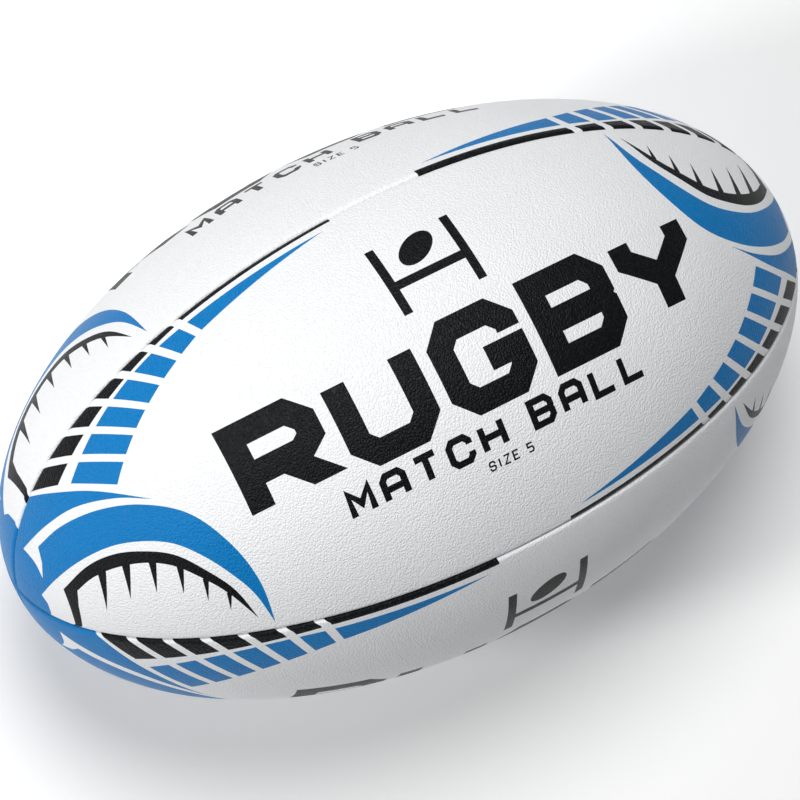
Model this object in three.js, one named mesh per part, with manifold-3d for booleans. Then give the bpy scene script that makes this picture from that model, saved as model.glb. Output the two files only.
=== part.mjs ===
// Rugby ball, size 5: four rubber cover panels with turned-in edges, a cloth lining
// behind each, a sewing thread in each seam, and an air bladder with its valve.
// Millimetres, +Z up. The origin is the ball's centre and the long axis lies along X.
// One panel faces up and one faces down; the seams lie halfway between the panels.

import * as THREE from 'three';
import { mergeVertices } from 'three/addons/utils/BufferGeometryUtils.js';
import Module from 'manifold-3d';

// Driving dimensions
const BALL_LENGTH = 300;
const BALL_DIAMETER = 178;
const COVER_THICKNESS = 1.5;
const LINING_THICKNESS = 0.8;
const BLADDER_THICKNESS = 0.8;
const SEAM_DEPTH = 6; // how far the sewn edges turn in below the surface
const CLEARANCE = 0.3; // between any two neighbouring pieces
const THREAD_WIDTH = 0.8;
const THREAD_HEIGHT = 0.6;
const THREAD_DEPTH = 3.3; // from the surface to the top of the thread
const SHOULDER_WIDTH = 1.2; // half the width of the groove along a seam
const SHOULDER_DEPTH = 0.8;

// How finely the curved surfaces are cut. Both counts are odd, so that each panel
// has a flat facet in its middle.
const FACETS_ACROSS = 7;
const FACETS_ALONG = 17;
const TIP_RADIUS = 1.2; // the open spot at each tip, where the four panels meet
const TIP_STATION = THREE.MathUtils.degToRad(5.5);
const TIP_PINCH = 0.9;
const ROUND_SIDES = 32;

// Valve, in the rear panel, two facets below the panel's middle line
const VALVE_FACETS_DOWN = 2;
const VALVE_BORE_RADIUS = 1.9;
const VALVE_BODY_RADIUS = 3.6;
const VALVE_LENGTH = 16;
const VALVE_FLANGE_RADIUS = 9;
const VALVE_FLANGE_THICKNESS = 1.5;
const VALVE_FOOT_RADIUS = 5;
const VALVE_RECESS = 0.4;
const NEEDLE_RADIUS = 0.45;
const COLLAR_RADIUS = 5.7;
const COLLAR_RECESS = 0.15;
const PATCH_RADIUS = 15;
const PATCH_THICKNESS = 1.2;
const PATCH_DEPTH = 5.3;

const PANELS = ['top', 'rear', 'bottom', 'front'];
const QUARTER = Math.PI / 2;
const SEAM_ANGLE = Math.PI / 4; // from a panel's middle line to its seam
const HALF_LENGTH = BALL_LENGTH / 2;
const HALF_WIDTH = BALL_DIAMETER / 2;

const wasm = await Module();
wasm.setup();

const COLOURS = {
  rubber: { color: 0xf4f6f8, roughness: 0.55 },
  cloth: { color: 0xd9d2c0, roughness: 0.9 },
  thread: { color: 0xe8e8e2, roughness: 0.7 },
  latex: { color: 0xb98a5a, roughness: 0.5 },
  valve: { color: 0x15181a, roughness: 0.45 },
};

// --- The ball's surface ---------------------------------------------------------

// A place along the ball is a station: the angle between the surface's normal and
// the long axis, from 0 at the left tip to 180 degrees at the right one.
// Returns the x and the distance from the long axis, at a depth below the surface.
function profileAt(station, depth) {
  const along = HALF_LENGTH * Math.cos(station);
  const out = HALF_WIDTH * Math.sin(station);
  const reach = Math.hypot(along, out);
  return {
    x: -Math.cos(station) * (HALF_LENGTH ** 2 / reach - depth),
    radius: Math.sin(station) * (HALF_WIDTH ** 2 / reach - depth),
  };
}

// The angle is measured round the long axis, from +Z towards +Y.
function pointAt(station, depth, angle) {
  const { x, radius } = profileAt(station, depth);
  return new THREE.Vector3(x, radius * Math.sin(angle), radius * Math.cos(angle));
}

// The angle from a panel's middle line to a line that runs at a fixed distance from
// the seam's plane. Close to a tip the line is pinched in, so that it never crosses
// the panel's middle.
function angleBesideSeam(station, depth, distance) {
  const sine = distance / profileAt(station, depth).radius;
  const limit = TIP_PINCH * distance / (distance + 1);
  return SEAM_ANGLE - Math.asin(Math.min(sine, limit));
}

// Stations turn by equal steps, with one more close to each tip.
function ballStations() {
  const tip = Math.asin(TIP_RADIUS * HALF_LENGTH / HALF_WIDTH ** 2);
  const step = (Math.PI - 2 * tip) / FACETS_ALONG;
  const inner = Array.from({ length: FACETS_ALONG - 1 }, (_, i) => tip + (i + 1) * step);
  return [tip, TIP_STATION, ...inner, Math.PI - TIP_STATION, Math.PI - tip];
}

const STATIONS = ballStations();
const INNER_STATIONS = STATIONS.slice(1, -1);

// --- Sections across the ball ---------------------------------------------------

// A chain of [depth, angle] points across one panel, from its near seam to its far
// one. The side lists [depth, distance from the seam] up to the part that spans it.
function chainAcross(side, station) {
  const rising = side.map(([depth, gap]) => [depth, -angleBesideSeam(station, depth, gap)]);
  const falling = rising.map(([depth, angle]) => [depth, -angle]).reverse();
  const [depth, edge] = falling[0];
  const across = [];
  for (let i = 1; i < FACETS_ACROSS; i += 1) {
    across.push([depth, edge * (2 * i / FACETS_ACROSS - 1)]);
  }
  return [...rising, ...across, ...falling];
}

function turned(loop, turn) {
  return loop.map(([depth, angle]) => [depth, angle + turn]);
}

const EDGE_GAP = CLEARANCE / 2; // each sewn edge stops this far from the seam's plane
const EDGE_BACK = EDGE_GAP + COVER_THICKNESS;
const CHANNEL_HALF = THREAD_WIDTH / 2 + CLEARANCE;
const CHANNEL_TOP = THREAD_DEPTH - CLEARANCE;
const CHANNEL_BOTTOM = THREAD_DEPTH + THREAD_HEIGHT + CLEARANCE;

function coverSection(station) {
  const outside = chainAcross([
    [SEAM_DEPTH, EDGE_GAP],
    [CHANNEL_BOTTOM, EDGE_GAP],
    [CHANNEL_BOTTOM, CHANNEL_HALF],
    [CHANNEL_TOP, CHANNEL_HALF],
    [CHANNEL_TOP, EDGE_GAP],
    [SHOULDER_DEPTH, EDGE_GAP],
    [0, SHOULDER_WIDTH],
  ], station);
  const inside = chainAcross([[SEAM_DEPTH, EDGE_BACK], [COVER_THICKNESS, EDGE_BACK]], station);
  return [...outside, ...inside.reverse()];
}

const LINING_TOP = COVER_THICKNESS + CLEARANCE;
const LINING_BOTTOM = LINING_TOP + LINING_THICKNESS;

function liningSection(station) {
  const edge = EDGE_BACK + CLEARANCE;
  const outside = chainAcross([[LINING_TOP, edge]], station);
  const inside = chainAcross([[LINING_BOTTOM, edge]], station);
  return [...outside, ...inside.reverse()];
}

function threadSection(station) {
  const corner = (depth, side) => {
    const sine = side * THREAD_WIDTH / 2 / profileAt(station, depth).radius;
    return [depth, SEAM_ANGLE + Math.asin(sine)];
  };
  const bottom = THREAD_DEPTH + THREAD_HEIGHT;
  return [corner(THREAD_DEPTH, -1), corner(THREAD_DEPTH, 1), corner(bottom, 1), corner(bottom, -1)];
}

const BLADDER_DEPTH = LINING_BOTTOM + CLEARANCE;
const GROOVE_DEPTH = SEAM_DEPTH + CLEARANCE;
const GROOVE_HALF = EDGE_BACK + 2 * CLEARANCE;

// The bladder presses up between the sewn edges and dips under each of them. At the
// tips, where the four edges meet, it stays below them all round.
function bladderSection(wall) {
  return (station) => {
    const isTip = station === INNER_STATIONS[0] || station === INNER_STATIONS.at(-1);
    const top = isTip ? GROOVE_DEPTH - EDGE_GAP : BLADDER_DEPTH;
    const side = [[GROOVE_DEPTH + wall, GROOVE_HALF + wall], [top + wall, GROOVE_HALF + wall]];
    const chain = chainAcross(side, station);
    return PANELS.flatMap((_, i) => turned(chain, i * QUARTER));
  };
}

// --- Solids ---------------------------------------------------------------------

function indexed(points, faces) {
  const geometry = new THREE.BufferGeometry().setFromPoints(points);
  geometry.setIndex(faces);
  return geometry;
}

// One closed body through the sections at the stations, with a cap at each end.
function sweep(stations, section, turn = 0) {
  const loops = stations.map((station) => (
    turned(section(station), turn).map(([depth, angle]) => pointAt(station, depth, angle))
  ));
  const count = loops[0].length;
  const last = (loops.length - 1) * count;
  const faces = [];
  for (let i = 0; i < loops.length - 1; i += 1) {
    for (let j = 0; j < count; j += 1) {
      const a = i * count + j;
      const b = i * count + (j + 1) % count;
      faces.push(a, a + count, b + count, a, b + count, b);
    }
  }
  const outline = loops[0].map((point) => new THREE.Vector2(point.y, point.z));
  for (const [a, b, c] of THREE.ShapeUtils.triangulateShape(outline, [])) {
    faces.push(c, b, a, last + a, last + b, last + c);
  }
  return indexed(loops.flat(), faces);
}

// A ring turned about the Y axis, through corners given as [radius, depth], listed
// from the bottom of its bore round the outside.
function ring(corners) {
  const profile = corners.map(([radius, depth]) => new THREE.Vector2(radius, -depth));
  const lathe = new THREE.LatheGeometry([...profile, profile[0]], ROUND_SIDES);
  lathe.deleteAttribute('normal');
  lathe.deleteAttribute('uv');
  return mergeVertices(lathe);
}

function toSolid(geometry) {
  return new wasm.Manifold(new wasm.Mesh({
    numProp: 3,
    vertProperties: new Float32Array(geometry.attributes.position.array),
    triVerts: new Uint32Array(geometry.index.array),
  }));
}

function subtract(geometry, ...cutters) {
  const solid = cutters.reduce((body, cutter) => body.subtract(toSolid(cutter)), toSolid(geometry));
  const { vertProperties, triVerts } = solid.getMesh();
  const result = new THREE.BufferGeometry();
  result.setAttribute('position', new THREE.BufferAttribute(vertProperties, 3));
  result.setIndex(new THREE.BufferAttribute(triVerts, 1));
  return result;
}

// --- The valve's place: the middle of a flat facet of the rear panel ------------

const MIDDLE_STATION = STATIONS[(STATIONS.length - 2) / 2];
const HALF_FACET = angleBesideSeam(MIDDLE_STATION, 0, SHOULDER_WIDTH) / FACETS_ACROSS;
const VALVE_TURN = QUARTER + VALVE_FACETS_DOWN * 2 * HALF_FACET;
const VALVE_OUTWARD = new THREE.Vector3(0, Math.sin(VALVE_TURN), Math.cos(VALVE_TURN));
const VALVE_POSITION = VALVE_OUTWARD.clone()
  .multiplyScalar(profileAt(MIDDLE_STATION, 0).radius * Math.cos(HALF_FACET));
const VALVE_ROTATION = new THREE.Quaternion()
  .setFromUnitVectors(new THREE.Vector3(0, 1, 0), VALVE_OUTWARD);

// A round cutter through the ball's wall at the valve.
function valveHole(radius) {
  const hole = new THREE.CylinderGeometry(radius, radius, 2 * VALVE_LENGTH, ROUND_SIDES);
  hole.deleteAttribute('normal');
  hole.deleteAttribute('uv');
  hole.applyQuaternion(VALVE_ROTATION);
  hole.translate(...VALVE_POSITION);
  return mergeVertices(hole);
}

const HOLE_RADIUS = VALVE_BODY_RADIUS + CLEARANCE;

// --- Sub-parts ------------------------------------------------------------------

function meshOf(name, geometry, finish) {
  const mesh = new THREE.Mesh(geometry, new THREE.MeshStandardMaterial({ metalness: 0, ...finish }));
  mesh.name = name;
  return mesh;
}

function coverPanel(panel, turn) {
  const body = sweep(STATIONS, coverSection, turn);
  const geometry = panel === 'rear' ? subtract(body, valveHole(COLLAR_RADIUS + CLEARANCE)) : body;
  return meshOf(`cover_panel_${panel}`, geometry, COLOURS.rubber);
}

function lining(panel, turn) {
  const body = sweep(INNER_STATIONS, liningSection, turn);
  const geometry = panel === 'rear' ? subtract(body, valveHole(HOLE_RADIUS)) : body;
  return meshOf(`lining_${panel}`, geometry, COLOURS.cloth);
}

function seamThread(panel, nextPanel, turn) {
  const geometry = sweep(INNER_STATIONS, threadSection, turn);
  return meshOf(`seam_thread_${panel}_${nextPanel}`, geometry, COLOURS.thread);
}

function bladder() {
  const outside = sweep(INNER_STATIONS, bladderSection(0));
  const inside = sweep(INNER_STATIONS.slice(2, -2), bladderSection(BLADDER_THICKNESS));
  return meshOf('bladder', subtract(outside, inside, valveHole(HOLE_RADIUS)), COLOURS.latex);
}

function valvePiece(name, corners, finish) {
  const mesh = meshOf(name, ring(corners), finish);
  mesh.position.copy(VALVE_POSITION);
  mesh.quaternion.copy(VALVE_ROTATION);
  return mesh;
}

// A rubber ring that fills the hole in the cover round the valve.
function valveCollar() {
  const bottom = COLLAR_RECESS + COVER_THICKNESS - CLEARANCE;
  return valvePiece('valve_collar', [
    [HOLE_RADIUS, bottom],
    [COLLAR_RADIUS, bottom],
    [COLLAR_RADIUS, COLLAR_RECESS],
    [HOLE_RADIUS, COLLAR_RECESS],
  ], COLOURS.valve);
}

// The round patch, inside the bladder, that holds the valve in its hole.
function valvePatch() {
  const bottom = PATCH_DEPTH + PATCH_THICKNESS;
  return valvePiece('valve_patch', [
    [HOLE_RADIUS, bottom],
    [PATCH_RADIUS, bottom],
    [PATCH_RADIUS, PATCH_DEPTH],
    [HOLE_RADIUS, PATCH_DEPTH],
  ], COLOURS.latex);
}

// The valve's rubber body: a stem out to the surface, a flange and a foot.
function valveBody() {
  const flangeTop = PATCH_DEPTH + PATCH_THICKNESS + CLEARANCE;
  const flangeBottom = flangeTop + VALVE_FLANGE_THICKNESS;
  return valvePiece('valve_body', [
    [VALVE_BORE_RADIUS, VALVE_LENGTH],
    [VALVE_FOOT_RADIUS, VALVE_LENGTH],
    [VALVE_FOOT_RADIUS, flangeBottom],
    [VALVE_FLANGE_RADIUS, flangeBottom],
    [VALVE_FLANGE_RADIUS, flangeTop],
    [VALVE_BODY_RADIUS, flangeTop],
    [VALVE_BODY_RADIUS, VALVE_RECESS],
    [VALVE_BORE_RADIUS, VALVE_RECESS],
  ], COLOURS.valve);
}

// The soft plug that seals round the pump's needle.
function valvePlug() {
  const radius = VALVE_BORE_RADIUS - CLEARANCE;
  const top = 2 * VALVE_RECESS;
  const bottom = VALVE_LENGTH - VALVE_RECESS;
  return valvePiece('valve_plug', [
    [NEEDLE_RADIUS, bottom],
    [radius, bottom],
    [radius, top],
    [NEEDLE_RADIUS, top],
  ], COLOURS.latex);
}

const ball = new THREE.Group();
ball.name = 'rugby_ball';
PANELS.forEach((panel, i) => {
  const turn = i * QUARTER;
  const nextPanel = PANELS[(i + 1) % PANELS.length];
  ball.add(coverPanel(panel, turn), lining(panel, turn), seamThread(panel, nextPanel, turn));
});
ball.add(bladder(), valveCollar(), valvePatch(), valveBody(), valvePlug());

export default ball;
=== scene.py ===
"""A rugby ball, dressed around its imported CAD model.

The printed cover panels are made here: each is one closed rubber body with rounded
shoulders along its seams, turned-in edges and its printing cut into the mesh as inks.
The linings, threads, bladder and valve patch are the CAD's own, with cloth and rubber
materials. Lengths in this script are millimetres until a mesh is written in metres.
"""

import math

import bpy
import numpy as np
from mathutils import Matrix, Vector
from mathutils.geometry import delaunay_2d_cdt


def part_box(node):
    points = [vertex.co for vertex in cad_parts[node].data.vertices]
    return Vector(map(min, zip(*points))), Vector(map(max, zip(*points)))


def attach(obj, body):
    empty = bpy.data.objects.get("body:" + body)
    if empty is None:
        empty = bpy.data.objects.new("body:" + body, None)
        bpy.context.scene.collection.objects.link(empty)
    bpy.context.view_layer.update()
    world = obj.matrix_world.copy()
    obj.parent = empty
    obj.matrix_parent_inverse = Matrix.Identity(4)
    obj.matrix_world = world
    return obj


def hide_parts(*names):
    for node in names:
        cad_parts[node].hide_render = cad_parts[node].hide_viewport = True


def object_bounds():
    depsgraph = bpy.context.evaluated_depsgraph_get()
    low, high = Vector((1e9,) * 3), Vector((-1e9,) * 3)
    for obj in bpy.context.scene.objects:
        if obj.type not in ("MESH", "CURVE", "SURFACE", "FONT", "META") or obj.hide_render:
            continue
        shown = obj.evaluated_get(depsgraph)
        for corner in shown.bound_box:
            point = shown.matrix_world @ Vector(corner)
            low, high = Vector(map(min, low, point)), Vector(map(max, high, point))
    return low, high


MM = 0.001
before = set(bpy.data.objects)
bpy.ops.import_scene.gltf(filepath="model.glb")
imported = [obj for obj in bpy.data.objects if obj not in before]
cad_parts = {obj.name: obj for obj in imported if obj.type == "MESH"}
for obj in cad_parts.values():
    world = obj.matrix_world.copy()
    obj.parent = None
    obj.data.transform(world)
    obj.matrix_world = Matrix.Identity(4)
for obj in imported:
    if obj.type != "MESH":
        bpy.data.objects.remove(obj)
CAD_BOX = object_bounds()

# --- The ball's surface -----------------------------------------------------------

PANELS = ("top", "rear", "bottom", "front")
SEAM_ANGLE = math.pi / 4
HALF_LENGTH = round(CAD_BOX[1].x / MM)


def cad_half_width():
    """The half width of the ellipsoid that the CAD cover's corners near its waist lie on."""
    corners = [v.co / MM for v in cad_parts["cover_panel_top"].data.vertices]
    corners = [c for c in corners if abs(c.x) < HALF_LENGTH / 2]
    swell = [math.hypot(c.y, c.z) / math.sqrt(1 - (c.x / HALF_LENGTH) ** 2) for c in corners]
    return max(swell)


HALF_WIDTH = cad_half_width()

# A station is the angle between the surface's normal and the long axis. The table
# gives the distance s along a panel's middle line, from the ball's waist.
STATION_COUNT = 4001
STATIONS = np.linspace(0, math.pi, STATION_COUNT)


def profile(station, depth=0.0):
    """x and the distance from the long axis, at a depth below the surface."""
    reach = np.hypot(HALF_LENGTH * np.cos(station), HALF_WIDTH * np.sin(station))
    x = -np.cos(station) * (HALF_LENGTH**2 / reach - depth)
    return x, np.sin(station) * (HALF_WIDTH**2 / reach - depth)


TABLE_X, TABLE_R = profile(STATIONS)
TABLE_S = np.concatenate([[0], np.cumsum(np.hypot(np.diff(TABLE_X), np.diff(TABLE_R)))])
TABLE_S -= TABLE_S[-1] / 2


def station_at(s):
    return float(np.interp(s, TABLE_S, STATIONS))


def seam_at(s):
    """How far the seam's plane is from the panel's middle line, measured across it."""
    return SEAM_ANGLE * float(np.interp(s, TABLE_S, TABLE_R))


def place(station, depth, angle):
    """A point of the top panel. The angle is from +Z towards +Y."""
    x, radius = profile(station, depth)
    return Vector((x, radius * math.sin(angle), radius * math.cos(angle)))


# --- A cover panel's edge: rings that follow its outline ---------------------------

RUBBER = 1.5
SEAM_DEPTH = 6.0
EDGE_GAP = 0.16
SHOULDER_WIDTH = 1.8
SHOULDER_DEPTH = 1.45
SHOULDER_STEPS = 6
NO_RADIUS = 1e-9


class Ring:
    """A line round the panel at one depth and one distance from the seams' planes."""

    def __init__(self, depth, gap):
        self.depth = depth
        self.gap = gap
        half = STATIONS[: len(STATIONS) // 2]
        self.tip = float(np.interp(gap * math.sqrt(2), profile(half, depth)[1], half))

    def station(self, along):
        return self.tip + along * (math.pi - 2 * self.tip)

    def along(self, station):
        return (station - self.tip) / (math.pi - 2 * self.tip)

    def half_angle(self, station):
        radius = profile(station, self.depth)[1]
        return SEAM_ANGLE - math.asin(min(self.gap / max(radius, NO_RADIUS), math.sqrt(0.5)))

    def point(self, along, across):
        """along runs from 0 to 1 between the tips, across from -1 to 1 between seams."""
        station = self.station(along)
        return place(station, self.depth, across * self.half_angle(station))


def edge_rings():
    rings = []
    for step in range(SHOULDER_STEPS + 1):
        turn = math.pi / 2 * step / SHOULDER_STEPS
        depth = SHOULDER_DEPTH * (1 - math.cos(turn))
        rings.append(Ring(depth, SHOULDER_WIDTH - (SHOULDER_WIDTH - EDGE_GAP) * math.sin(turn)))
    rings.append(Ring(SEAM_DEPTH, EDGE_GAP))
    rings.append(Ring(SEAM_DEPTH, EDGE_GAP + RUBBER))
    rings.append(Ring(RUBBER, EDGE_GAP + RUBBER))
    return rings


RINGS = edge_rings()
SKIN, BACK = RINGS[0], RINGS[-1]


def flat_half_width(s):
    station = station_at(s)
    return SKIN.half_angle(station) * profile(station)[1]


NO_WIDTH = 1e-4


def flat_to_panel(s, w):
    """(along, across) of a flat point, s along the panel and w across it."""
    half = flat_half_width(s)
    across = max(-1.0, min(1.0, w / half)) if half > NO_WIDTH else 0.0
    return SKIN.along(station_at(s)), across


# --- Drawing: curves and strokes on the flat panel ----------------------------------

STEP = 1.6  # the longest stretch of a drawn line


def spline(points):
    """A smooth line through the points, sampled about every STEP millimetres."""
    pts = [np.array(p, float) for p in points]
    pts = [2 * pts[0] - pts[1], *pts, 2 * pts[-1] - pts[-2]]
    line = []
    for before, start, end, after in zip(pts, pts[1:], pts[2:], pts[3:]):
        count = max(1, round(np.linalg.norm(end - start) / STEP))
        for i in range(count):
            t = i / count
            bend = (2 * before - 5 * start + 4 * end - after) * t * t
            twist = (3 * start - before - 3 * end + after) * t**3
            line.append((2 * start + (end - before) * t + bend + twist) / 2)
    line.append(pts[-2])
    return [tuple(p) for p in line]


def follow(edge, start, end):
    """Points along edge(s), from one s to another."""
    count = max(1, round(abs(end - start) / STEP))
    return [(s, edge(s)) for s in np.linspace(start, end, count + 1)]


CROSSING_TRIES = 8


def crossing(line_start, slope, gap_at):
    """Where a cut, slanting from the seam at line_start, meets an edge of the band."""
    s = line_start
    for _ in range(CROSSING_TRIES):
        s = line_start + slope * gap_at(s)
    return s


# The band of dashes beside a seam: where each edge lies, as a gap from the seam.
DASHES = 6
DASH_PITCH = 12.8
DASH_LENGTH = 9.3
BAND_START = -150.7
TAPER_START = BAND_START + DASHES * DASH_PITCH
BLUE_TIP = -18.0
BLACK_TIP = -12.5
CUT_SLOPE_AT_START = 1.02
CUT_SLOPE_AT_TAPER = 0.36


def blue_outer(s):
    return 5.0 + 10.0 * (max(0.0, -80.0 - s) / 55.0) ** 1.9


def blue_inner(s):
    if s > -71.0:
        return 5.0 + 6.7 * (BLUE_TIP - s) / (BLUE_TIP + 71.0)
    return 11.7 + 0.25 * (-71.0 - s) + 6.0 * ((-71.0 - s) / 50.0) ** 3


def black_inner(s):
    if s > TAPER_START:
        return 2.4 + 0.5 * (BLACK_TIP - s) / (BLACK_TIP - TAPER_START)
    return 2.9 + 0.06 * (TAPER_START - s) + 0.0009 * (TAPER_START - s) ** 2


def black_outer(_):
    """Past the seam, so that the black dashes are cut off by the panel's own edge."""
    return -6.0


def band_dash(near, far, start, end):
    """One dash of a band, between two slanting cuts through the seam at start, end."""
    corners = []
    for at in (start, end):
        spread = ((at - BAND_START) / (TAPER_START - BAND_START)) if at > BAND_START else 0.0
        slope = CUT_SLOPE_AT_START - (CUT_SLOPE_AT_START - CUT_SLOPE_AT_TAPER) * spread**1.4
        corners.append((crossing(at, slope, near), crossing(at, slope, far)))
    (near_start, far_start), (near_end, far_end) = corners
    outer = follow(lambda s: seam_at(s) - near(s), near_start, near_end)
    inner = follow(lambda s: seam_at(s) - far(s), far_end, far_start)
    return outer + inner


def band_taper(near, far, tip):
    """The long stroke after the last dash, out to the band's tip."""
    start = crossing(TAPER_START, CUT_SLOPE_AT_TAPER, near)
    inner_start = crossing(TAPER_START, CUT_SLOPE_AT_TAPER, far)
    outer = follow(lambda s: seam_at(s) - near(s), start, tip)
    inner = follow(lambda s: seam_at(s) - far(s), tip, inner_start)
    return outer + inner[1:]


def dash_bands():
    shapes = []
    for ink, near, far, tip in (
        ("blue", blue_outer, blue_inner, BLUE_TIP),
        ("black", black_outer, black_inner, BLACK_TIP),
    ):
        for i in range(DASHES):
            start = BAND_START + i * DASH_PITCH
            shapes.append((ink, band_dash(near, far, start, start + DASH_LENGTH)))
        shapes.append((ink, band_taper(near, far, tip)))
    return shapes


def tip_and_crescents():
    """The blue end of the panel, with its two crescents and the white line between."""
    small_top = spline([(-158, 30), (-142.5, 22.9), (-129.2, 16.4), (-112.8, 5.3)])
    small_low = spline([(-112.8, 5.3), (-124, 11.0), (-138.1, 14.6), (-152, 14.0), (-168.3, 10.9)])
    notch = [*spline([(-168.3, 10.9), (-166.6, 4.8), (-166.7, -1.2)]), (-163.1, 3.6), (-161, 8.8)]
    big_out = spline([(-161, 8.8), (-147, 11.2), (-131.6, 10.2), (-117, 5.3), (-104, -4.2),
                      (-95.6, -19), (-91.2, -35), (-90.4, -53)])
    big_in = spline([(-90.4, -53), (-94, -39), (-98.9, -28.9), (-105.4, -18.9), (-113, -10.7),
                     (-122.5, -5.4), (-134, -2.2), (-147.5, -1.9), (-160.9, -3.6), (-171.5, -5.9)])
    outside = [(-170.1, -9.6), (-170.5, -26), (-200, -40), (-200, 40), (-158, 40)]
    return small_top + small_low[1:] + notch[1:] + big_out[1:] + big_in[1:] + outside


SPIKES = 6
# How the teeth change from the first, at the foot, to the last.
TOOTH_PLACE = (0.84, 0.20)
TOOTH_LENGTH = (12.5, 6.0)
TOOTH_HALF_WIDTH = (1.8, 0.9)
TOOTH_LEAN = (0.34, 0.24)


def between(ends, share):
    return ends[0] + (ends[1] - ends[0]) * share


def comb():
    """A thin black crescent with a foot at one end and a row of pointed teeth."""
    top = spline([(-159.2, -7.6), (-145.5, -4.5), (-134.2, -4.9), (-124, -8.3), (-114.4, -14),
                  (-106.9, -22.9), (-99.8, -34.2), (-95.2, -48.4)])
    low = spline([(-95.2, -48.4), (-101.9, -34.9), (-108.6, -25.4), (-116.4, -17), (-125.3, -11.9),
                  (-135.8, -9.1), (-145.5, -8.7), (-153.5, -10.2)])
    foot = [(-155.7, -15.4), (-158.4, -30), (-160.4, -30), (-159.6, -15)]
    shapes = [("black", top + low[1:] + foot)]
    for i in range(SPIKES):
        share = i / (SPIKES - 1)
        base_s, base_w = low[round(between(TOOTH_PLACE, share) * (len(low) - 1))]
        length, half = between(TOOTH_LENGTH, share), between(TOOTH_HALF_WIDTH, share)
        point = (base_s - between(TOOTH_LEAN, share) * length, base_w - length)
        # Each tooth starts a little inside the crescent, so that no gap shows at its root.
        tooth = [(base_s - half, base_w + 1), point, (base_s + half, base_w + 0.6)]
        shapes.append(("black", tooth))
    return shapes


# The rear panel was printed a little further along than the others. Where a panel is
# narrower than FIT_FROM on each side, its printing isn't squeezed any more.
REAR_SHIFT = 6.5
FIT_FROM = 15.0


def shifted(shapes, distance):
    """The same printing further along a panel, still fitted between its seams."""
    moved = []
    for ink, outline in shapes:
        line = []
        for s, w in outline:
            fit = max(FIT_FROM, seam_at(s + distance)) / max(FIT_FROM, seam_at(s))
            line.append((s + distance, w * fit))
        moved.append((ink, line))
    return moved


def turned_round(shapes):
    return [(ink, [(-s, -w) for s, w in outline]) for ink, outline in shapes]


# --- Generic lettering: chamfered block letters made of strokes ---------------------

# Each glyph is strokes through points of a unit box. C is how much is cut off its
# corners, and M is its middle.
C = 0.2
M = 0.5
GLYPHS = {
    "A": [[(0, 0), (0, 1 - C), (C, 1), (1 - C, 1), (1, 1 - C), (1, 0)], [(0, 0.42), (1, 0.42)]],
    "B": [[(0, 0), (0, 1), (1 - C, 1), (1, 1 - C), (1, M + C / 2), (1 - C / 2, M), (1, M - C / 2),
           (1, C), (1 - C, 0), (0, 0)], [(0, M), (1 - C / 2, M)]],
    "C": [[(1, 0.66), (1, 1 - C), (1 - C, 1), (C, 1), (0, 1 - C), (0, C), (C, 0), (1 - C, 0),
           (1, C), (1, 0.34)]],
    "E": [[(1, 1), (0, 1), (0, 0), (1, 0)], [(0, M), (0.8, M)]],
    "G": [[(1, 0.68), (1, 1 - C), (1 - C, 1), (C, 1), (0, 1 - C), (0, C), (C, 0), (1 - C, 0),
           (1, C), (1, M - 0.06), (0.55, M - 0.06)]],
    "H": [[(0, 0), (0, 1)], [(1, 0), (1, 1)], [(0, M), (1, M)]],
    "I": [[(M, 0), (M, 1)]],
    "L": [[(0, 1), (0, 0), (1, 0)]],
    "M": [[(0, 0), (0, 1), (M, 0.42), (1, 1), (1, 0)]],
    "R": [[(0, 0), (0, 1), (1 - C, 1), (1, 1 - C), (1, M + C / 2), (1 - C, M - 0.04), (0, M - 0.04)],
          [(0.52, M - 0.04), (1, 0)]],
    "S": [[(1, 0.68), (1, 1 - C), (1 - C, 1), (C, 1), (0, 1 - C), (0, M + C / 2), (C, M),
           (1 - C, M), (1, M - C / 2), (1, C), (1 - C, 0), (C, 0), (0, C), (0, 0.32)]],
    "T": [[(0, 1), (1, 1)], [(M, 0), (M, 1)]],
    "U": [[(0, 1), (0, C), (C, 0), (1 - C, 0), (1, C), (1, 1)]],
    "Y": [[(0, 1), (0, 0.78), (M, 0.42), (1, 0.78), (1, 1)], [(M, 0.42), (M, 0)]],
    "Z": [[(0, 1), (1, 1), (0, 0), (1, 0)]],
    "5": [[(1, 1), (0, 1), (0, 0.56), (1 - C, 0.56), (1, 0.56 - C), (1, C), (1 - C, 0), (0, 0)]],
}
MITRE_LIMIT = 1.8
LEAST_COSINE = 0.2
UPRIGHT = 0.1


def stroke(points, weight):
    """One four-sided outline for each stretch of a line, mitred where stretches meet.

    A slanting end is cut level, as the foot of an R is.
    """
    pts = [np.array(p, float) for p in points]
    closed = np.allclose(pts[0], pts[-1])
    runs = [(b - a) / np.linalg.norm(b - a) for a, b in zip(pts, pts[1:])]
    sides = []
    for i in range(len(pts)):
        before = runs[i - 1] if i > 0 or closed else runs[0]
        after = runs[i] if i < len(runs) else (runs[0] if closed else runs[-1])
        middle = before + after
        middle = middle / np.linalg.norm(middle)
        reach = min(1 / max(LEAST_COSINE, float(middle @ before)), MITRE_LIMIT)
        side = np.array([-middle[1], middle[0]]) * weight / 2 * reach
        at_end = not closed and i in (0, len(pts) - 1)
        if at_end and min(abs(middle)) > UPRIGHT:
            side = np.array([-math.copysign(weight / 2 / abs(middle[1]), middle[1]), 0.0])
        sides.append(side)
    quads = []
    for i in range(len(pts) - 1):
        corners = (pts[i] + sides[i], pts[i] - sides[i])
        ends = (pts[i + 1] - sides[i + 1], pts[i + 1] + sides[i + 1])
        quads.append([tuple(p) for p in (*corners, *ends)])
    return quads


NARROW = 0.25  # the width of an I or a space, as a share of a full letter's


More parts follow.
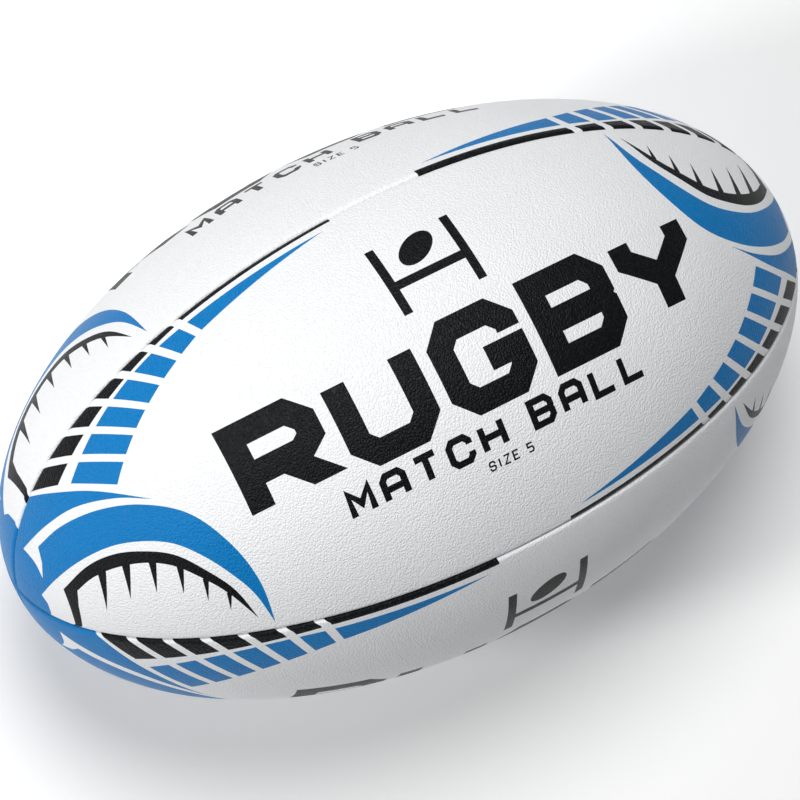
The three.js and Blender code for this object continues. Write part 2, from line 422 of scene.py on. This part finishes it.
def lettering(text, centre, height, weight, width, space):
    """Outlines for a centred line of text. Its stroke lines fit inside the height."""
    pitch = [width * (NARROW if glyph in " I" else 1.0) + weight + space for glyph in text]
    s = centre[0] - (sum(pitch) - space) / 2
    tall = height - weight
    shapes = []
    for glyph, step in zip(text, pitch):
        left = s + weight / 2 - (width * (1 - NARROW) / 2 if glyph == "I" else 0)
        for line in GLYPHS.get(glyph, []):
            points = [(left + x * width, centre[1] - tall / 2 + y * tall) for x, y in line]
            shapes.extend(("black", quad) for quad in stroke(points, weight))
        s += step
    return shapes


# The pictogram: the goal's lines, and the ball's middle, half axes and lean.
GOAL = (-10.5, 17.5, 21.5, 32.0, 48.0)
GOAL_WEIGHT = 3.2
PICTURE_BALL_HEIGHT = 41.5
PICTURE_BALL_AXES = (7.6, 4.6)
PICTURE_BALL_LEAN = math.radians(28)
PICTURE_BALL_SIDES = 36


def pictogram():
    """A goal with a ball over its bar."""
    left, right, foot, bar, top = GOAL
    middle = (left + right) / 2
    lines = [[(left, foot), (left, top)], [(right, foot), (right, top)], [(left, bar), (right, bar)]]
    shapes = [("black", quad) for line in lines for quad in stroke(line, GOAL_WEIGHT)]
    cosine, sine = math.cos(PICTURE_BALL_LEAN), math.sin(PICTURE_BALL_LEAN)
    oval = []
    for turn in np.linspace(0, 2 * math.pi, PICTURE_BALL_SIDES, endpoint=False):
        x, y = PICTURE_BALL_AXES[0] * math.cos(turn), PICTURE_BALL_AXES[1] * math.sin(turn)
        oval.append((middle + x * cosine - y * sine,
                     PICTURE_BALL_HEIGHT + x * sine + y * cosine))
    return [*shapes, ("black", oval)]


# Each line of text: its centre, height, stroke weight, letter width and letter space.
WORDS = (
    ("RUGBY", (4.5, -1.5), 34, 8.4, 24.2, 4.2),
    ("MATCH BALL", (0, -26.2), 10.4, 2.3, 7.1, 2.6),
    ("SIZE 5", (0, -35.6), 3.6, 0.62, 1.9, 0.9),
)


def printing(pictured):
    """Everything printed on a panel, in the order that it covers what is below."""
    half = [("blue", tip_and_crescents()), *comb(), *dash_bands()]
    words = [shape for line in WORDS for shape in lettering(*line)]
    return half + turned_round(half) + words + (pictogram() if pictured else [])


# --- A panel's mesh -----------------------------------------------------------------

GRID = 2.3
BACK_GRID = 7.0
GRID_MARGIN = 1.0
BACK_MARGIN = 3.0
ROW_HEIGHT = 0.866  # of a grid of equal-sided triangles
GRID_REACH = (195, 75)
INKS = ("white", "blue", "black")
HOLE_RADIUS = 6.2
# The hole's rounded lip and wall: how far in it is, and how far down.
HOLE_PROFILE = ((0.12, 0.08), (0.22, 0.3), (0.25, 0.7), (0.25, RUBBER))
HOLE_SIDES = 48
LEAF_STEPS = 170
TIP_CROWDING = 0.35  # how far the outline's points are drawn towards the panel's tips


def valve_on_panel():
    """The valve's place on the rear panel, flat, from its CAD collar's box."""
    low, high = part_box("valve_collar")
    middle = (low + high) / 2
    turn = math.atan2(middle.y, middle.z) - math.pi / 2
    return (0.0, turn * float(profile(math.pi / 2)[1]))


def leaf_outline():
    """The panel's skin, flat: up one side and back down the other."""
    sides = []
    for side in (1, -1):
        line = []
        for i in range(1, LEAF_STEPS):
            share = i / LEAF_STEPS
            crowded = (1 - math.cos(math.pi * share)) / 2
            along = crowded * TIP_CROWDING + (1 - TIP_CROWDING) * share
            station = SKIN.station(along)
            s = float(np.interp(station, STATIONS, TABLE_S))
            line.append((s, side * flat_half_width(s)))
        sides.append(line)
    end = float(np.interp(SKIN.tip, STATIONS, TABLE_S))
    return [(end, 0.0), *sides[0], (-end, 0.0), *reversed(sides[1])]


def inside_points(outlines, spacing, margin):
    """A staggered grid over the panel, clear of the outlines' own points."""
    taken = {}
    for p in (p for outline in outlines for p in outline):
        taken.setdefault((round(p[0] / spacing), round(p[1] / spacing)), []).append(p)
    points = []
    rows = int(GRID_REACH[1] / (spacing * ROW_HEIGHT))
    columns = range(int(-GRID_REACH[0] / spacing), int(GRID_REACH[0] / spacing) + 1)
    for row in range(-rows, rows + 1):
        w = row * spacing * ROW_HEIGHT
        for column in columns:
            s = (column + (row % 2) / 2) * spacing
            if abs(w) > flat_half_width(s) - spacing * 0.6:
                continue
            cell = (round(s / spacing), round(w / spacing))
            near = [p for i in (-1, 0, 1) for j in (-1, 0, 1)
                    for p in taken.get((cell[0] + i, cell[1] + j), [])]
            if all(math.hypot(s - p[0], w - p[1]) > margin for p in near):
                points.append((s, w))
    return points


def densified(outline):
    """The outline with points added, so that no stretch is longer than STEP."""
    dense = []
    for start, end in zip(outline, [*outline[1:], outline[0]]):
        count = max(1, math.ceil(math.dist(start, end) / STEP))
        dense.extend((start[0] + (end[0] - start[0]) * i / count,
                      start[1] + (end[1] - start[1]) * i / count) for i in range(count))
    return dense


def twice_area(outline):
    """Above zero where the outline runs anticlockwise."""
    return sum(a[0] * b[1] - b[0] * a[1] for a, b in zip(outline, [*outline[1:], outline[0]]))


KEEP_INSIDE = 1  # the triangulator's mode: leave out triangles that no outline holds
SAME_POINT = 1e-4


def triangulate(outlines, loose):
    """Constrained triangles of flat outlines, with the outlines that hold each one.

    The triangulator needs simple outlines that run anticlockwise.
    """
    verts = []
    faces = []
    for outline in outlines:
        numbers = list(range(len(verts), len(verts) + len(outline)))
        faces.append(numbers if twice_area(outline) > 0 else numbers[::-1])
        verts.extend(outline)
    verts.extend(loose)
    points, _, cells, source, _, holders = delaunay_2d_cdt(
        [Vector(p) for p in verts], [], faces, KEEP_INSIDE, SAME_POINT, True)
    return [tuple(p) for p in points], cells, source, holders


def boundary_loops(cells):
    """Closed loops of the edges that only one triangle uses, each with its triangle."""
    owner = {}
    for index, cell in enumerate(cells):
        for a, b in zip(cell, [*cell[1:], cell[0]]):
            if (b, a) in owner:
                del owner[(b, a)]
            else:
                owner[(a, b)] = index
    follower = {a: b for a, b in owner}
    loops = []
    while follower:
        start = min(follower)
        loop = [start]
        step = follower.pop(start)
        while step != start:
            loop.append(step)
            step = follower.pop(step)
        loops.append([(a, owner[(a, b)]) for a, b in zip(loop, [*loop[1:], loop[0]])])
    return sorted(loops, key=len, reverse=True)


def circle(centre, radius):
    turns = [2 * math.pi * i / HOLE_SIDES for i in range(HOLE_SIDES)]
    return [(centre[0] + radius * math.cos(t), centre[1] + radius * math.sin(t)) for t in turns]


AT_TIP = 1e-4


class PanelMesh:
    """Builds one cover panel: skin, shoulders, turned-in edges, back, and a hole."""

    def __init__(self, shapes, hole=None):
        self.verts = []
        self.faces = []
        self.inks = []
        self.hole = hole
        self.build(shapes)

    def add(self, point):
        self.verts.append(point)
        return len(self.verts) - 1

    def face(self, corners, ink):
        self.faces.append(corners)
        self.inks.append(ink)

    def skin(self, shapes):
        """Flat points, and the triangles on the panel with the topmost ink of each."""
        leaf = leaf_outline()
        outlines = [leaf, *(densified(outline) for _, outline in shapes)]
        if self.hole:
            outlines.append(circle(self.hole, HOLE_RADIUS))
        loose = inside_points(outlines, GRID, GRID_MARGIN)
        points, cells, _, holders = triangulate(outlines, loose)
        kept = []
        for cell, holder in zip(cells, holders):
            hollow = self.hole and len(outlines) - 1 in holder
            if 0 in holder and not hollow:
                tops = [i for i in holder if i > 0]
                kept.append((cell, shapes[max(tops) - 1][0] if tops else "white"))
        return points, kept

    def build(self, shapes):
        points, kept = self.skin(shapes)
        used = sorted({i for cell, _ in kept for i in cell})
        renumber = {}
        for i in used:
            along, across = flat_to_panel(*points[i])
            renumber[i] = self.add(SKIN.point(along, across))
        cells = [[renumber[i] for i in cell] for cell, _ in kept]
        flat = {renumber[i]: points[i] for i in used}
        for cell, (_, ink) in zip(cells, kept):
            self.face(cell, ink)
        loops = boundary_loops(cells)
        edge = self.walls(loops[0], flat, [kept[t][1] for _, t in loops[0]])
        inner = [edge]
        if self.hole:
            inner.append(self.hole_wall(loops[1], flat))
        self.back(inner)

    def walls(self, loop, flat, inks):
        """The shoulders and turned-in edges. Returns the last ring, with flat places."""
        spots = []
        for vertex, _ in loop:
            s, w = flat[vertex]
            along = min(1.0, max(0.0, SKIN.along(station_at(s))))
            side = 0 if min(along, 1 - along) < AT_TIP else math.copysign(1, w)
            spots.append((along, side))
        previous = [vertex for vertex, _ in loop]
        for ring in RINGS[1:]:
            current = [self.add(ring.point(along, side)) for along, side in spots]
            self.strip(previous, current, inks)
            previous = current
        return [(index, flat[vertex]) for index, (vertex, _) in zip(previous, loop)]

    def hole_wall(self, loop, flat):
        """The rounded lip and the wall of the valve's hole."""
        previous = [vertex for vertex, _ in loop]
        for shrink, depth in HOLE_PROFILE:
            level = Ring(depth, SHOULDER_WIDTH)
            scale = 1 - shrink / HOLE_RADIUS
            current = []
            for vertex, _ in loop:
                s, w = (c + (p - c) * scale for p, c in zip(flat[vertex], self.hole))
                current.append(self.add(level.point(*flat_to_panel(s, w))))
            self.strip(previous, current, ["white"] * len(loop))
            previous = current
        return [(index, flat[vertex]) for index, (vertex, _) in zip(previous, loop)]

    def strip(self, outer, inner, inks):
        count = len(outer)
        for i in range(count):
            j = (i + 1) % count
            self.face([outer[j], outer[i], inner[i], inner[j]], inks[i])

    def back(self, loops):
        """The back of the panel, filled in between the last rings."""
        outlines = [[spot for _, spot in loop] for loop in loops]
        index_of = [index for loop in loops for index, _ in loop]
        loose = inside_points(outlines, BACK_GRID, BACK_MARGIN)
        points, cells, source, holders = triangulate(outlines, loose)
        number = {}
        for i, point in enumerate(points):
            known = [k for k in source[i] if k < len(index_of)]
            if known:
                number[i] = index_of[known[0]]
            else:
                number[i] = self.add(BACK.point(*flat_to_panel(*point)))
        for cell, holder in zip(cells, holders):
            if set(holder) == {0}:
                self.face([number[i] for i in reversed(cell)], "white")


# --- Materials ------------------------------------------------------------------------


class Nodes:
    """Short helpers over one material's node tree."""

    def __init__(self, name):
        self.material = bpy.data.materials.new(name)
        self.material.use_nodes = True
        self.tree = self.material.node_tree
        self.shader = self.tree.nodes["Principled BSDF"]
        self.where = self.tree.nodes.new("ShaderNodeTexCoord").outputs["Object"]

    def node(self, kind, **values):
        made = self.tree.nodes.new(kind)
        for key, value in values.items():
            if key in made.inputs:
                self.put(made.inputs[key], value)
            else:
                setattr(made, key, value)
        return made

    def put(self, socket, value):
        if isinstance(value, bpy.types.NodeSocket):
            self.tree.links.new(value, socket)
        else:
            socket.default_value = value

    def noise(self, scale, detail=3.0, where=None):
        made = self.node("ShaderNodeTexNoise", Scale=scale, Detail=detail, Vector=where or self.where)
        return made.outputs["Fac"]

    def maths(self, operation, first, second):
        made = self.node("ShaderNodeMath", operation=operation)
        self.put(made.inputs[0], first)
        self.put(made.inputs[1], second)
        return made.outputs[0]

    def ramp(self, value, low, high, from_low=0.0, from_high=1.0):
        made = self.node("ShaderNodeMapRange", Value=value)
        limits = {"From Min": from_low, "From Max": from_high, "To Min": low, "To Max": high}
        for name, number in limits.items():
            made.inputs[name].default_value = number
        return made.outputs["Result"]

    def mix(self, share, dark, light):
        made = self.node("ShaderNodeMix", data_type="RGBA")
        self.put(made.inputs["Factor"], share)
        self.put(made.inputs[6], dark)
        self.put(made.inputs[7], light)
        return made.outputs[2]

    def bump(self, height, distance, strength=1.0, under=None):
        made = self.node("ShaderNodeBump", Height=height, Distance=distance, Strength=strength)
        if under is not None:
            self.put(made.inputs["Normal"], under)
        return made.outputs["Normal"]


def srgb(red, green, blue):
    parts = [c / 255 for c in (red, green, blue)]
    return (*[c / 12.92 if c <= 0.04045 else ((c + 0.055) / 1.055) ** 2.4 for c in parts], 1.0)


def pebble(nodes):
    """The moulded grain of a rubber cover: small rounded pebbles, unevenly squeezed."""
    wander = nodes.node("ShaderNodeTexNoise", Scale=420.0, Detail=2.0, Vector=nodes.where)
    shift = nodes.node("ShaderNodeVectorMath", operation="MULTIPLY_ADD")
    nodes.put(shift.inputs[0], wander.outputs["Color"])
    shift.inputs[1].default_value = (0.0009, 0.0009, 0.0009)
    nodes.put(shift.inputs[2], nodes.where)
    cells = nodes.node("ShaderNodeTexVoronoi", feature="SMOOTH_F1", Scale=1450.0, Smoothness=0.3,
                       Vector=shift.outputs[0])
    domes = nodes.ramp(cells.outputs["Distance"], 1.0, 0.0, 0.05, 0.75)
    creases = nodes.noise(2900.0, 3.0, shift.outputs[0])
    return nodes.maths("ADD", domes, nodes.maths("MULTIPLY", creases, 0.45))


def cover_material(name, dark, light, rough, gloss):
    nodes = Nodes(name)
    grain = pebble(nodes)
    blotch = nodes.noise(38.0, 4.0)
    # The colour follows the grain. It is darker in the hollows between the pebbles and lighter on
    # their tops. This is partly dirt and wear, and partly painted shade in the hollows. The noise
    # blotches are the rubber's own uneven tone.
    tone = nodes.mix(nodes.maths("MULTIPLY", nodes.maths("ADD", grain, blotch), 0.5), dark, light)
    nodes.put(nodes.shader.inputs["Base Color"], tone)
    spread = nodes.ramp(nodes.noise(90.0, 4.0), rough - 0.05, rough + 0.07)
    nodes.put(nodes.shader.inputs["Roughness"], spread)
    nodes.shader.inputs["Specular IOR Level"].default_value = gloss
    nodes.put(nodes.shader.inputs["Normal"], nodes.bump(grain, 0.00022, 0.9))
    return nodes.material


def cloth_material(name, dark, light, threads_per_metre):
    """Plain weave: two crossed ribs, one along the ball and one across it."""
    nodes = Nodes(name)
    ribs = []
    for axis in (0, 1):
        turn = nodes.node("ShaderNodeMapping", Vector=nodes.where)
        turn.inputs["Rotation"].default_value = (0, 0, axis * math.pi / 2 + math.radians(3))
        wave = nodes.node("ShaderNodeTexWave", Scale=threads_per_metre / 6, Distortion=0.6,
                          Vector=turn.outputs[0])
        wave.inputs["Detail Scale"].default_value = 4.0
        ribs.append(wave.outputs["Fac"])
    weave = nodes.maths("MAXIMUM", *ribs)
    fuzz = nodes.noise(2400.0, 2.0)
    tone = nodes.mix(nodes.maths("MULTIPLY", weave, fuzz), dark, light)
    nodes.put(nodes.shader.inputs["Base Color"], tone)
    nodes.shader.inputs["Roughness"].default_value = 0.88
    nodes.put(nodes.shader.inputs["Normal"], nodes.bump(weave, 0.00025, 0.7))
    return nodes.material


def soft_rubber_material(name, dark, light, rough):
    """Dipped latex or moulded butyl: faint flow marks and a dusting of talc."""
    nodes = Nodes(name)
    flow = nodes.noise(120.0, 5.0)
    talc = nodes.noise(1800.0, 2.0)
    tone = nodes.mix(nodes.maths("MULTIPLY", flow, talc), dark, light)
    nodes.put(nodes.shader.inputs["Base Color"], tone)
    nodes.put(nodes.shader.inputs["Roughness"], nodes.ramp(flow, rough - 0.08, rough + 0.12))
    nodes.put(nodes.shader.inputs["Normal"], nodes.bump(talc, 0.00008, 0.5))
    return nodes.material


def thread_material(name, dark, light):
    """Twisted, waxed thread."""
    nodes = Nodes(name)
    wave = nodes.node("ShaderNodeTexWave", bands_direction="DIAGONAL", Scale=420.0, Distortion=1.0,
                      Vector=nodes.where)
    twist = wave.outputs["Fac"]
    nodes.put(nodes.shader.inputs["Base Color"], nodes.mix(twist, dark, light))
    nodes.put(nodes.shader.inputs["Roughness"], nodes.ramp(twist, 0.6, 0.42))
    nodes.put(nodes.shader.inputs["Normal"], nodes.bump(twist, 0.0002, 0.8))
    return nodes.material


COVER = {
    "white": cover_material("cover_white", srgb(236, 238, 240), srgb(249, 250, 252), 0.43, 0.5),
    "blue": cover_material("ink_blue", srgb(0, 110, 178), srgb(0, 130, 200), 0.42, 0.2),
    "black": cover_material("ink_black", srgb(4, 6, 8), srgb(15, 20, 22), 0.42, 0.16),
}
CLOTH = cloth_material("lining_cloth", srgb(196, 186, 160), srgb(226, 219, 200), 1100)
LATEX = soft_rubber_material("bladder_latex", srgb(166, 116, 66), srgb(202, 158, 106), 0.45)
BUTYL = soft_rubber_material("valve_rubber", srgb(14, 16, 18), srgb(38, 42, 45), 0.42)
PLUG = soft_rubber_material("plug_rubber", srgb(176, 128, 80), srgb(208, 166, 116), 0.5)
THREAD = thread_material("seam_thread", srgb(214, 211, 202), srgb(240, 238, 232))


# --- Pieces ---------------------------------------------------------------------------


def new_object(name, verts, faces, matrix=None):
    mesh = bpy.data.meshes.new(name)
    mesh.from_pydata([v * MM for v in verts], [], faces)
    if matrix is not None:
        mesh.transform(matrix)
    mesh.validate()
    mesh.shade_smooth()
    made = bpy.data.objects.new(name, mesh)
    bpy.context.scene.collection.objects.link(made)
    return made


def cover_panel(panel, turn, body):
    about_x = Matrix.Rotation(-turn, 4, "X")
    piece = new_object(f"printed_panel_{panel}", body.verts, body.faces, about_x)
    for ink in INKS:
        piece.data.materials.append(COVER[ink])
    piece.data.polygons.foreach_set("material_index", [INKS.index(ink) for ink in body.inks])
    piece.data.set_sharp_from_angle(angle=math.radians(55))
    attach(piece, "root")
    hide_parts(f"cover_panel_{panel}")


def cover():
    plain = PanelMesh(printing(pictured=True))
    rear_printing = shifted(printing(pictured=False), REAR_SHIFT)
    with_valve = PanelMesh(rear_printing, valve_on_panel())
    for i, panel in enumerate(PANELS):
        cover_panel(panel, i * math.pi / 2, with_valve if panel == "rear" else plain)


VALVE_SIDES = 56


def turned_piece(name, corners, node, material):
    """A ring round the valve's axis. Corners are [radius, depth below the cover]."""
    low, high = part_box("valve_collar")
    middle = (low + high) / 2
    outward = Vector((0, middle.y, middle.z)).normalized()
    across = Vector((1, 0, 0))
    aside = outward.cross(across)
    verts = []
    for i in range(VALVE_SIDES):
        turn = 2 * math.pi * i / VALVE_SIDES
        spoke = across * math.cos(turn) + aside * math.sin(turn)
        verts.extend(outward * (HALF_WIDTH - depth) + spoke * radius for radius, depth in corners)
    count = len(corners)
    faces = []
    for i in range(VALVE_SIDES):
        here, there = i * count, (i + 1) % VALVE_SIDES * count
        for j in range(count):
            k = (j + 1) % count
            faces.append([here + j, there + j, there + k, here + k])
    piece = new_object(name, verts, faces)
    piece.data.materials.append(material)
    piece.data.set_sharp_from_angle(angle=math.radians(40))
    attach(piece, "root")
    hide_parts(node)


def rounded(centre, radius, start, end, steps=5):
    """Corner points of a rounded edge, from one angle to another, in degrees."""
    turns = [math.radians(start + (end - start) * i / steps) for i in range(steps + 1)]
    return [(centre[0] + radius * math.cos(t), centre[1] - radius * math.sin(t)) for t in turns]


def valve():
    """The collar in the cover's hole, the valve's body and the plug in its bore."""
    collar = [(3.9, 2.6), (5.75, 2.6),
              *rounded((5.2, 0.85), 0.55, 0, 90), *rounded((4.35, 0.85), 0.45, 90, 180)]
    turned_piece("valve_collar_ring", collar, "valve_collar", BUTYL)
    body = [(1.95, 17.4), (5.0, 17.4), (5.0, 9.8), (9.0, 9.8), (9.0, 8.3), (3.6, 8.3),
            *rounded((3.05, 1.35), 0.55, 0, 90), *rounded((2.3, 1.15), 0.35, 90, 180)]
    turned_piece("valve_stem", body, "valve_body", BUTYL)
    plug = [(0.45, 16.8), (1.75, 16.8), *rounded((1.45, 1.7), 0.3, 0, 90),
            (1.1, 1.45), (0.65, 2.1), (0.45, 2.6)]
    turned_piece("needle_plug", plug, "valve_plug", PLUG)


def carried_nodes():
    """The CAD pieces whose shape stays, with their own materials."""
    finishes = {"lining": CLOTH, "seam_thread": THREAD, "bladder": LATEX, "valve_patch": LATEX}
    for name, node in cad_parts.items():
        for start, material in finishes.items():
            if name.startswith(start):
                node.data.materials.clear()
                node.data.materials.append(material)


# --- Stage ------------------------------------------------------------------------------

# The camera's axes: to the right of the view, up it, and back towards the camera.
VIEW_RIGHT = Vector((0.8628, -0.4496, 0.2310))
VIEW_UP = Vector((0.4291, 0.8930, 0.1355))
VIEW_BACK = VIEW_RIGHT.cross(VIEW_UP)
CAMERA_DISTANCE = 1392.8
BALL_OFFSET = (1.7, 1.5)
LENS = 182.5
SENSOR = 36


def turned_to(right, up, back, place_at):
    axes = Matrix((right, up, back)).transposed().to_4x4()
    return Matrix.Translation(place_at * MM) @ axes


def camera():
    made = bpy.data.objects.new("camera", bpy.data.cameras.new("camera"))
    made.data.lens = LENS
    made.data.sensor_width = SENSOR
    spot = VIEW_BACK * CAMERA_DISTANCE - VIEW_RIGHT * BALL_OFFSET[0] - VIEW_UP * BALL_OFFSET[1]
    made.matrix_world = turned_to(VIEW_RIGHT, VIEW_UP, VIEW_BACK, spot)
    bpy.context.scene.collection.objects.link(made)
    bpy.context.scene.camera = made


def area_light(name, toward, size, power):
    """A soft box that shines at the ball. toward is in view axes: right, up, back."""
    way = (VIEW_RIGHT * toward[0] + VIEW_UP * toward[1] + VIEW_BACK * toward[2]).normalized()
    light = bpy.data.lights.new(name, "AREA")
    light.shape = "DISK"
    light.size = size * MM
    light.energy = power
    made = bpy.data.objects.new(name, light)
    facing = way.to_track_quat("Z", "Y").to_matrix().to_4x4()
    made.matrix_world = Matrix.Translation(way * LIGHT_DISTANCE * MM) @ facing
    bpy.context.scene.collection.objects.link(made)


LIGHT_DISTANCE = 1500
# Each light's way out from the ball in view axes, its size, and its power in watts.
LIGHTS = {
    "key": ((0.02, 0.40, 0.91), 700, 16.5),
    "sheen": ((-0.66, -0.18, 0.73), 220, 8),
}


def lights():
    for name, (toward, size, power) in LIGHTS.items():
        area_light(name, toward, size, power)
    world = bpy.data.worlds.new("studio")
    world.use_nodes = True
    background = world.node_tree.nodes["Background"]
    background.inputs["Color"].default_value = (0.97, 0.98, 1.0, 1)
    background.inputs["Strength"].default_value = 0.1
    bpy.context.scene.world = world
    bpy.context.scene.view_settings.view_transform = "Standard"


FLOOR_REACH = 3000


def floor():
    signs = ((-1, -1), (1, -1), (1, 1), (-1, 1))
    corners = [Vector((x * FLOOR_REACH, y * FLOOR_REACH, -HALF_WIDTH)) for x, y in signs]
    made = new_object("floor", corners, [[0, 1, 2, 3]])
    nodes = Nodes("floor")
    nodes.shader.inputs["Base Color"].default_value = (0.96, 0.96, 0.96, 1)
    nodes.shader.inputs["Roughness"].default_value = 0.9
    nodes.shader.inputs["Emission Color"].default_value = (1, 1, 1, 1)
    nodes.shader.inputs["Emission Strength"].default_value = 0.16
    made.data.materials.append(nodes.material)


camera()
cover()
valve()
carried_nodes()
lights()
floor()
